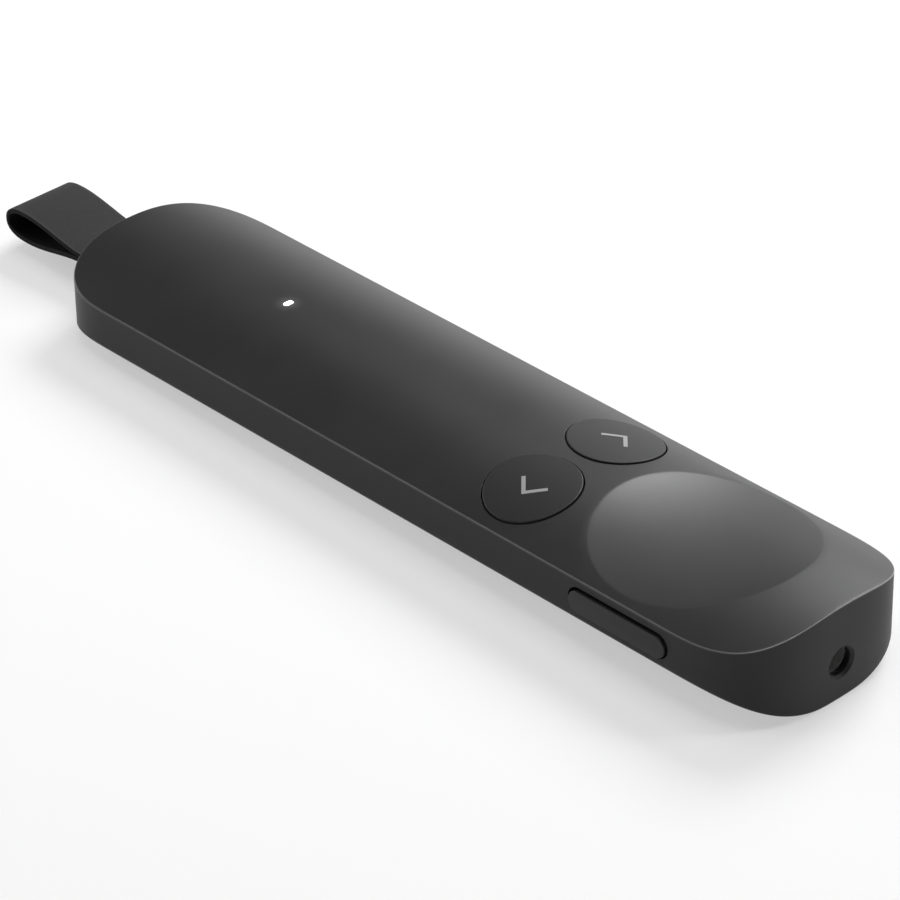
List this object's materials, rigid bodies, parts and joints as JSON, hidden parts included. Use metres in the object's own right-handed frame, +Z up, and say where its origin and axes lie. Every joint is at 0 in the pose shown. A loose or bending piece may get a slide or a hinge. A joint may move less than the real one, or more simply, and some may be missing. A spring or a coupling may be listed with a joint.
{
  "type": "wireless presentation clicker",
  "caption": "Slim handheld presentation clicker: crowned slab with back and next keys, a touch dish, a side key, a laser nose and a stowed receiver pulled out by a fabric loop.",
  "frame": {"origin": "under the middle of the part's box, on the surface it rests on", "axes": "+X towards the laser nose, +Z up out of the key face, +Y towards the side with the back key"},
  "size_m": [0.1381, 0.0285, 0.0126],
  "materials": {
    "casing": "satin, finely textured moulding",
    "keycap": "satin moulding, slightly darker than the casing",
    "key_mark": "pale second-shot inlay",
    "light_window": "translucent white, lit from below",
    "strap_fabric": "flat black webbing",
    "receiver_plastic": "satin moulding",
    "frame_plastic": "plain moulding",
    "plug_steel": "stamped and plated",
    "screw_steel": "plated",
    "shield_tin": "tinned",
    "dome_steel": "thin spring steel",
    "motor_steel": "plated can",
    "circuit_board": "green solder mask",
    "chip_black": "moulded package",
    "ceramic": "sintered ceramic",
    "pouch_foil": "foil pouch",
    "foam": "adhesive foam",
    "ivory_plastic": "plain moulding",
    "red_wire": "wire insulation",
    "black_wire": "wire insulation",
    "led_package": "phosphor package",
    "copper": "plated copper electrode",
    "flex_film": "polyimide film",
    "barrel_brass": "turned",
    "diode_gold": "plated can",
    "lens_glass": "coated collimating lens"
  },
  "bodies": {
    "housing": {"body_shell": "casing", "top_cover": "casing", "inner_frame": "frame_plastic", "screw_tail_left": "screw_steel", "screw_tail_right": "screw_steel", "screw_nose_left": "screw_steel", "screw_nose_right": "screw_steel", "main_board": "circuit_board", "radio_shield": "shield_tin", "radio_chip": "chip_black", "board_parts": "chip_black", "antenna": "ceramic", "battery": "pouch_foil", "battery_pad": "foam", "battery_socket": "ivory_plastic", "red_lead": "red_wire", "black_lead": "black_wire", "status_led": "led_package", "led_lens": "light_window", "touch_sensor": "copper", "sensor_flex": "flex_film", "haptic_motor": "motor_steel", "motor_pad": "foam", "laser_holder": "frame_plastic", "laser_barrel": "barrel_brass", "laser_lens": "lens_glass", "laser_diode": "diode_gold", "laser_board": "circuit_board", "laser_flex": "flex_film", "back_switch": "chip_black", "next_switch": "chip_black", "side_switch": "chip_black", "back_dome": "dome_steel", "next_dome": "dome_steel", "receiver_bay": "frame_plastic", "charge_port": "plug_steel", "port_tongue": "chip_black"},
    "back_key": {"back_button": "keycap", "back_mark": "key_mark", "back_plunger": "ivory_plastic"},
    "next_key": {"next_button": "keycap", "next_mark": "key_mark", "next_plunger": "ivory_plastic"},
    "side_key": {"side_button": "keycap", "side_plunger": "ivory_plastic"},
    "receiver": {"receiver_shell": "receiver_plastic", "receiver_plug": "plug_steel", "receiver_board": "circuit_board", "strap_pin": "screw_steel", "strap_loop": "strap_fabric"}
  },
  "joints": [
    {"name": "back_press", "type": "slide", "parent": "housing", "child": "back_key", "axis": [0.0184, 0, -0.9998], "range_m": [0, 0.00035], "stiffness_N_per_m": 2000, "springref_m": -0.0003},
    {"name": "next_press", "type": "slide", "parent": "housing", "child": "next_key", "axis": [0.0184, 0, -0.9998], "range_m": [0, 0.00035], "stiffness_N_per_m": 2000, "springref_m": -0.0003},
    {"name": "side_press", "type": "slide", "parent": "housing", "child": "side_key", "axis": [0, 1, 0], "range_m": [0, 0.0003], "stiffness_N_per_m": 2000, "springref_m": -0.0003},
    {"name": "receiver_slide", "type": "slide", "parent": "housing", "child": "receiver", "axis": [-0.9998, 0, -0.0184], "range_m": [0, 0.02]}
  ]
}
